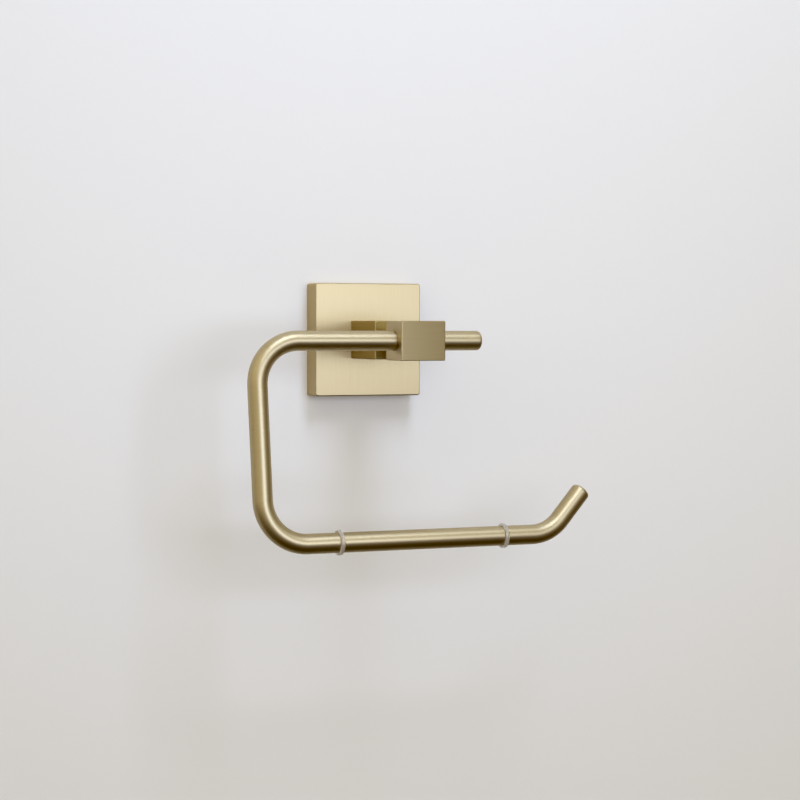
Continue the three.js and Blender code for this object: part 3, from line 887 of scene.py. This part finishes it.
# ---- Neck ----
# A turned brass pin between the post and the head, a threaded stud on each end, with the fine rings that
# the lathe tool leaves.
HEAD_LOW, HEAD_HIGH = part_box("head_block")
NECK_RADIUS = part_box("neck")[1].x
NECK_STUD = 3.55 * MM
NECK_CHAMFER = 0.35 * MM
NECK_ROWS = 10
STUD_LENGTH = 3.7 * MM
STUD_PITCH = 1.0 * MM
STUD_THREAD = 0.45 * MM
STUD_ROWS = 28


def turned_map(piece, distance, around, radius):
    """UV in metres on a skinned grid of rings: U is the distance along it, V the distance round it."""
    mesh = piece.data
    vertex = np.zeros(len(mesh.loops), int)
    mesh.loops.foreach_get("vertex_index", vertex)
    row, column = np.divmod(vertex, around)
    pole = vertex >= len(distance) * around
    along = np.append(distance, [distance[0], distance[-1]])
    row = np.where(pole, len(distance) + vertex - len(distance) * around, row)
    totals = np.zeros(len(mesh.polygons), int)
    mesh.polygons.foreach_get("loop_total", totals)
    face = np.repeat(np.arange(len(totals)), totals)
    widest = np.zeros(len(totals), int)
    np.maximum.at(widest, face, np.where(pole, 0, column))
    wraps = (widest[face] == around - 1) & (column == 0)
    round_it = (column + around * wraps) * 2 * np.pi * radius / around
    layer = mesh.uv_layers.new(name="brushing")
    layer.uv.foreach_set("vector", np.stack([along[row], round_it], -1).ravel())


neck_back, neck_front = POST_LOW.y - SEAM, HEAD_HIGH.y + SEAM
stud = np.linspace(0, 1, STUD_ROWS)
neck_place = np.concatenate([
    neck_front - (1 - stud) * STUD_LENGTH, [neck_front, neck_front + NECK_CHAMFER],
    np.linspace(neck_front + NECK_CHAMFER, neck_back - NECK_CHAMFER, NECK_ROWS + 2)[1:-1],
    [neck_back - NECK_CHAMFER, neck_back], neck_back + stud * STUD_LENGTH,
])
neck_radius = np.concatenate([
    np.full(STUD_ROWS, NECK_STUD), [NECK_RADIUS - NECK_CHAMFER, NECK_RADIUS],
    np.full(NECK_ROWS, NECK_RADIUS), [NECK_RADIUS, NECK_RADIUS - NECK_CHAMFER],
    np.full(STUD_ROWS, NECK_STUD),
])


def neck_threads(angle, place):
    """Threads on both studs and none between them."""
    front = thread(STUD_PITCH, STUD_THREAD, neck_front - STUD_LENGTH, neck_front)(angle, place)
    back = thread(STUD_PITCH, STUD_THREAD, neck_back, neck_back + STUD_LENGTH)(angle, place)
    return front + back


rings = lathe(neck_radius, neck_place, wobble=neck_threads)
ends = np.array([[0, 0, neck_place[0]], [0, 0, neck_place[-1]]])
neck = closed_mesh("neck_brass", rings[..., [0, 2, 1]], *ends[:, [0, 2, 1]])
turned_map(neck, neck_place, rings.shape[1], NECK_RADIUS)
turned_brass = satin_brass("satin_brass_turned", roughness=0.36, spread=0.6, line_width=0.10 * MM,
                           line_length=6 * MM, bump=0.1)
finish(neck, turned_brass, "wall_mount", "neck")


# ---- Head block ----
# A short block of the same square bar lying across the post, bored through for the round bar and tapped
# from below for the grub screw that holds it.
HEAD_HALF = HEAD_HIGH.z
HEAD_CENTRE = (HEAD_LOW.y + HEAD_HIGH.y) / 2
HEAD_EDGE = 0.5 * MM
BORE_LIP = 0.25 * MM
ARM_LOW, ARM_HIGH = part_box("arm")
BAR_RADIUS = ARM_HIGH.z
BORE_CLEARANCE = 0.06 * MM
BORE = BAR_RADIUS + BORE_CLEARANCE

across, along = quarter_round(HEAD_EDGE)
lip_across, lip_along = quarter_round(BORE_LIP, 4)
left, right = HEAD_LOW.x, HEAD_HIGH.x
head_reach = np.concatenate([
    [BORE, BORE], BORE - lip_across[::-1], [HEAD_HALF - HEAD_EDGE - hug], HEAD_HALF + across,
    [HEAD_HALF] * 2, HEAD_HALF + across[::-1], [HEAD_HALF - HEAD_EDGE - hug], BORE - lip_across, [BORE],
])
head_place = np.concatenate([
    [0, left + BORE_LIP + hug], left + lip_along[::-1], [left], left + along,
    [left + HEAD_EDGE + hug, right - HEAD_EDGE - hug], right - along[::-1], [right], right - lip_along,
    [right - BORE_LIP - hug],
])
head_round = head_reach < BORE + 2 * BORE_LIP
head_rings = square_rings(head_reach, head_place, np.full(len(head_reach), HEAD_EDGE), head_round)
head = closed_mesh("head_block_brass", head_rings[..., [2, 0, 1]] + [0, HEAD_CENTRE, 0])
stud_bit = bit(48, STUD_HOLE, HEAD_HIGH.y - STUD_DEPTH, HEAD_HIGH.y + MM, "y")
grub_bit = bit(48, GRUB_HOLE, -HEAD_HALF - MM, -BAR_RADIUS + 2 * MM, "z", (0, HEAD_CENTRE, 0))
drill_out(head, [stud_bit, grub_bit])
brush_map(head, [(1, 0, 0), (0, 1, 0)])
head_brass = satin_brass("satin_brass_square_bar", roughness=0.40, spread=0.92)
finish(head, head_brass, "wall_mount", "head_block")


# ---- Head grub screw ----
# The same kind of screw in the head's underside, run up to just short of the bar: it keeps the arm from
# sliding out and sets how stiffly it swings.
grub_screw("head_grub_screw_steel", "head_grub_screw", HEAD_CENTRE)


# ---- Arm ----
# One length of solid round brass bar, bent cold three times round the same former: through the head, down,
# back along the bottom and up at the open end. Its ends are rounded over, and a belt running round the
# bar leaves its fine lines crosswise.
BAR_AXIS_Y = frame["joints"][0]["pos_m"][1]
SWING_OUT = BAR_AXIS_Y - ARM_LOW.y - BAR_RADIUS
SWING_DOWN = -ARM_LOW.z - BAR_RADIUS
ARM_DROP = np.hypot(SWING_OUT, SWING_DOWN)
ARM_SWING = np.arctan2(SWING_OUT, SWING_DOWN)
STUB_END = 33.7 * MM
SIDE_X = ARM_LOW.x + BAR_RADIUS
BEND_RADIUS = 21 * MM
UPTURN_CORNER = 65.5 * MM
UPTURN_ANGLE = np.radians(47)
UPTURN_STRAIGHT = 19.5 * MM
END_ROUND = 1.7 * MM
BAR_SIDES = 72
BAR_PALE = (0.500, 0.409, 0.238, 1)
BAR_DEEP = (0.467, 0.375, 0.210, 1)


def bar_rings(places, heading, gone, radius, end_round):
    """Circles square to the centre line, radius * (cos t sideways + sin t towards -Y), with rounded ends.

    At each end the circles shrink by the quarter round and move back along the bar by it. One smaller circle
    on the end face keeps its triangles short.
    """
    across, along = quarter_round(end_round, 8)
    first = np.full(len(across) + 1, 0)
    last = np.full(len(across) + 1, len(places) - 1)
    index = np.concatenate([first, np.arange(1, len(places) - 1), last])
    shrink = np.concatenate([[-end_round * 2], across, 0 * heading[1:-1], across[::-1], [-end_round * 2]])
    shift = np.concatenate([[0], along, 0 * heading[1:-1], -along[::-1], [0]])
    direction = np.stack([np.cos(heading), 0 * heading, np.sin(heading)], -1)[index]
    sideways = np.stack([-np.sin(heading), 0 * heading, np.cos(heading)], -1)[index]
    angle = np.arange(BAR_SIDES) * 2 * np.pi / BAR_SIDES
    reach = (radius + shrink)[:, None, None]
    centre = (places[index] + direction * shift[:, None])[:, None, :]
    cosine, sine = (wave(angle)[None, :, None] for wave in (np.cos, np.sin))
    circle = cosine * sideways[:, None, :] + sine * [0, -1, 0]
    return centre + reach * circle, gone[index] + shift


def swing_out(points):
    """Turns points about the bar's own line, so that the loop stands off plumb, and moves them to the head.

    With a as the swing, y becomes y cos a + z sin a, and z becomes z cos a - y sin a.
    """
    cosine, sine = np.cos(ARM_SWING), np.sin(ARM_SWING)
    x, y, z = np.moveaxis(np.asarray(points, float), -1, 0)
    return np.stack([x, BAR_AXIS_Y + y * cosine + z * sine, z * cosine - y * sine], -1)


top_run = STUB_END - SIDE_X - BEND_RADIUS
upturn_start = UPTURN_CORNER - BEND_RADIUS * np.tan(UPTURN_ANGLE / 2)
arm_runs = [
    (top_run, 0, 30), (BEND_RADIUS * np.pi / 2, np.pi / 2, 32), (ARM_DROP - 2 * BEND_RADIUS, 0, 16),
    (BEND_RADIUS * np.pi / 2, np.pi / 2, 32), (upturn_start - SIDE_X - BEND_RADIUS, 0, 36),
    (BEND_RADIUS * UPTURN_ANGLE, UPTURN_ANGLE, 18), (UPTURN_STRAIGHT, 0, 8),
]
flat_places, heading, gone = bent_line(arm_runs, (STUB_END, 0), np.pi)
places = np.insert(flat_places, 1, 0, axis=1)
rings, distance = bar_rings(places, heading, gone, BAR_RADIUS, END_ROUND)
arm = closed_mesh("arm_brass", swing_out(rings), *swing_out(places[[0, -1]]))
turned_map(arm, distance, rings.shape[1], BAR_RADIUS)
round_brass = satin_brass("satin_brass_round_bar", roughness=0.45, spread=0.46, line_width=0.10 * MM,
                          line_length=4 * MM, bump=0.06, pale=BAR_PALE, deep=BAR_DEEP)
finish(arm, round_brass, "arm", "arm")


# ---- Roll rings ----
# Two moulded rings of milky clear silicone, stretched over the lower bar. They hold by their own grip, can
# be pushed along by hand, and keep the roll from creeping.
RING_INSET = 0.2 * MM
RING_CLEARANCE = 0.02 * MM
RING_SOFTNESS = 0.7
RING_SIDES = 96
SILICONE_DARK = (0.85, 0.80, 0.72, 1)
SILICONE_LIGHT = (0.95, 0.91, 0.84, 1)


def ring_section(half_width, low, high, soft, steps=10):
    """An oblong with rounded corners: the half width times |cos t| to the power soft across, and |sin t| to
    the same power from low to high, each with its sign.
    """
    turn = np.arange(4 * steps) * 2 * np.pi / (4 * steps)
    cosine, sine = np.cos(turn), np.sin(turn)
    across = half_width * np.sign(cosine) * np.abs(cosine) ** soft
    up = np.sign(sine) * np.abs(sine) ** soft
    return across, low + (high - low) * (up + 1) / 2


silicone = mottled_finish("milky_silicone", SILICONE_DARK, SILICONE_LIGHT, roughness=0.42, scale=900,
                          bump=0.05)
shader = silicone.node_tree.nodes["Principled BSDF"]
shader.inputs["Transmission Weight"].default_value = 0.86
shader.inputs["IOR"].default_value = 1.41

for side in ("left", "right"):
    low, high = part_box("roll_ring_" + side)
    half_width = (high.x - low.x) / 2
    outer_radius = (high.z - low.z) / 2
    bore = BAR_RADIUS + RING_CLEARANCE
    across, reach = ring_section(half_width - RING_INSET, bore, outer_radius, RING_SOFTNESS)
    angle = np.arange(RING_SIDES) * 2 * np.pi / RING_SIDES
    flat = reach[:, None] * np.stack([np.cos(angle), np.sin(angle)])[:, None, :]
    grid = np.stack([across[:, None] + 0 * angle, flat[0], flat[1] - ARM_DROP], -1)
    grid[..., 0] += (low.x + high.x) / 2
    ring = closed_mesh("roll_ring_" + side + "_silicone", swing_out(grid))
    finish(ring, silicone, "ring_" + side, "roll_ring_" + side, sharp_angle=60)
